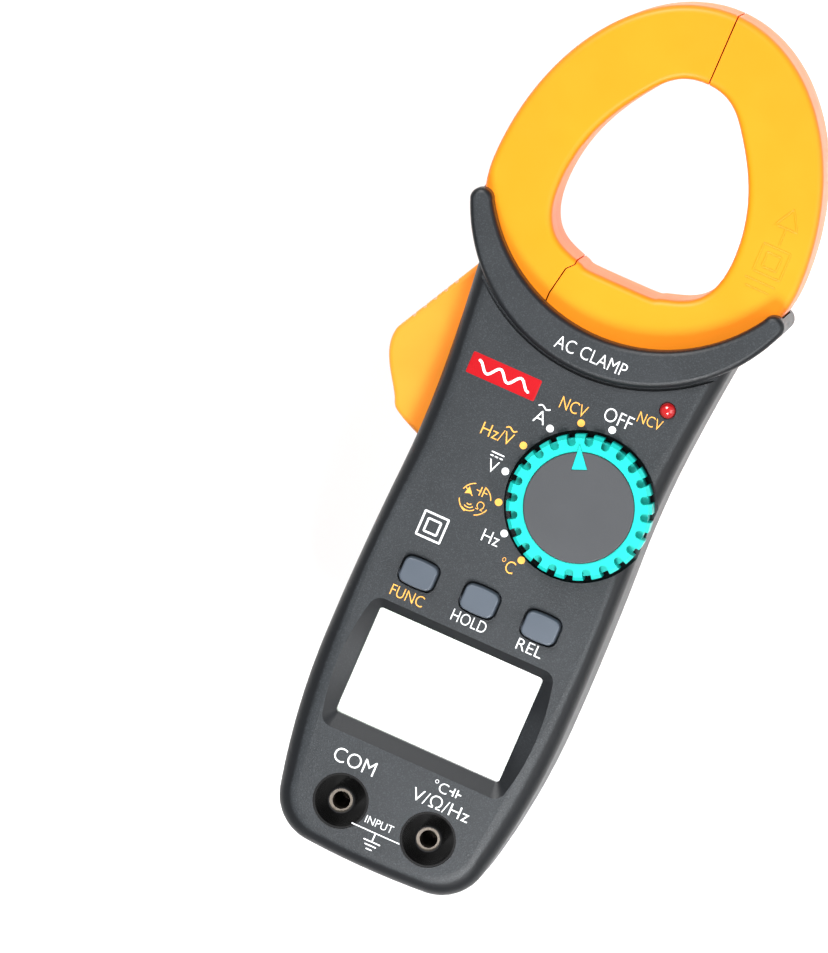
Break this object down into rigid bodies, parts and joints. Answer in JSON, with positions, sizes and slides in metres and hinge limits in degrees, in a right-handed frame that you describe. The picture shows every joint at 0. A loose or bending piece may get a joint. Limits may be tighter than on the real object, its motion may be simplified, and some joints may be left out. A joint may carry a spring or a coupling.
{
  "type": "clamp meter",
  "caption": "Hand-held clamp meter: egg-shaped sprung jaw with side trigger, notched function dial, keys, display, probe jacks and a battery door in a waisted case.",
  "frame": {"origin": "on the flat back, on the centreline, 104 mm up from the jack end", "axes": "+Y from the jacks to the jaw, +X to the right of the panel, +Z out of the panel"},
  "size_m": [0.0799, 0.207, 0.0349],
  "materials": {
    "case_plastic": "fine grained moulding",
    "jaw_plastic": "satin moulding",
    "teal_plastic": "satin moulding",
    "grey_plastic": "grained disc",
    "key_rubber": "smooth",
    "black_plastic": "smooth",
    "clear_plastic": "polished",
    "lcd": "polished",
    "white_plastic": "smooth",
    "red_lens": "polished",
    "board": "solder mask",
    "black_part": "moulded",
    "ceramic_part": "lacquered",
    "tin": "plated",
    "brass": "turned",
    "steel": "zinc plated",
    "spring_steel": "drawn wire",
    "lamination": "stacked sheet",
    "copper_wire": "enamelled",
    "wire_skin": "insulation",
    "cell_jacket": "plain sleeve",
    "mat_rubber": "silicone"
  },
  "bodies": {
    "case": {"backlight": "white_plastic", "battery_cells": "cell_jacket", "battery_contacts": "tin", "battery_leads": "wire_skin", "battery_springs": "spring_steel", "buzzer": "black_part", "case_screws": "steel", "coil_leads": "wire_skin", "com_socket": "brass", "display_window": "clear_plastic", "fixed_jaw_bobbin": "white_plastic", "fixed_jaw_core": "lamination", "fixed_jaw_front_shell": "jaw_plastic", "fixed_jaw_rear_shell": "jaw_plastic", "fixed_jaw_winding": "copper_wire", "front_case": "case_plastic", "input_resistors": "ceramic_part", "input_socket": "brass", "input_thermistor": "ceramic_part", "jack_leads": "wire_skin", "keypad_mat": "mat_rubber", "lcd_contact_strips": "mat_rubber", "lcd_glass": "lcd", "lcd_holder": "white_plastic", "meter_chip": "black_part", "ncv_lamp": "red_lens", "pcb": "board", "pcb_screws": "steel", "pivot_pin": "steel", "quartz_crystal": "tin", "rear_case": "case_plastic", "return_spring": "spring_steel", "terminal_block": "black_plastic", "trimmers": "ceramic_part"},
    "moving_jaw": {"moving_jaw_front_shell": "jaw_plastic", "moving_jaw_rear_shell": "jaw_plastic", "moving_jaw_core": "lamination", "trigger": "jaw_plastic", "trigger_screws": "steel"},
    "dial": {"dial_knob": "teal_plastic", "dial_cap": "grey_plastic", "dial_rotor": "black_part", "detent_balls": "steel", "detent_springs": "spring_steel", "wiper_contacts": "brass"},
    "door": {"battery_door": "case_plastic", "battery_door_screw": "steel"},
    "func_key": {"func_button": "key_rubber"},
    "hold_key": {"hold_button": "key_rubber"},
    "rel_key": {"rel_button": "key_rubber"}
  },
  "joints": [
    {"name": "jaw_open", "type": "hinge", "parent": "case", "child": "moving_jaw", "pos_m": [-0.02, 0.021, 0.0165], "axis": [0, 0, 1], "range_deg": [0, 27], "stiffness_Nm_per_rad": 0.35, "springref_deg": -28.65},
    {"name": "dial_turn", "type": "hinge", "parent": "case", "child": "dial", "pos_m": [0.012, -0.01, 0.03], "axis": [0, 0, 1], "range_deg": [-22.5, 135]},
    {"name": "battery_door_open", "type": "hinge", "parent": "case", "child": "door", "pos_m": [0, -0.026, 0.0014], "axis": [1, 0, 0], "range_deg": [0, 60]},
    {"name": "func_press", "type": "slide", "parent": "case", "child": "func_key", "axis": [0, 0, -1], "range_m": [0, 0.0012], "stiffness_N_per_m": 800, "springref_m": -0.0012},
    {"name": "hold_press", "type": "slide", "parent": "case", "child": "hold_key", "axis": [0, 0, -1], "range_m": [0, 0.0012], "stiffness_N_per_m": 800, "springref_m": -0.0012},
    {"name": "rel_press", "type": "slide", "parent": "case", "child": "rel_key", "axis": [0, 0, -1], "range_m": [0, 0.0012], "stiffness_N_per_m": 800, "springref_m": -0.0012}
  ]
}
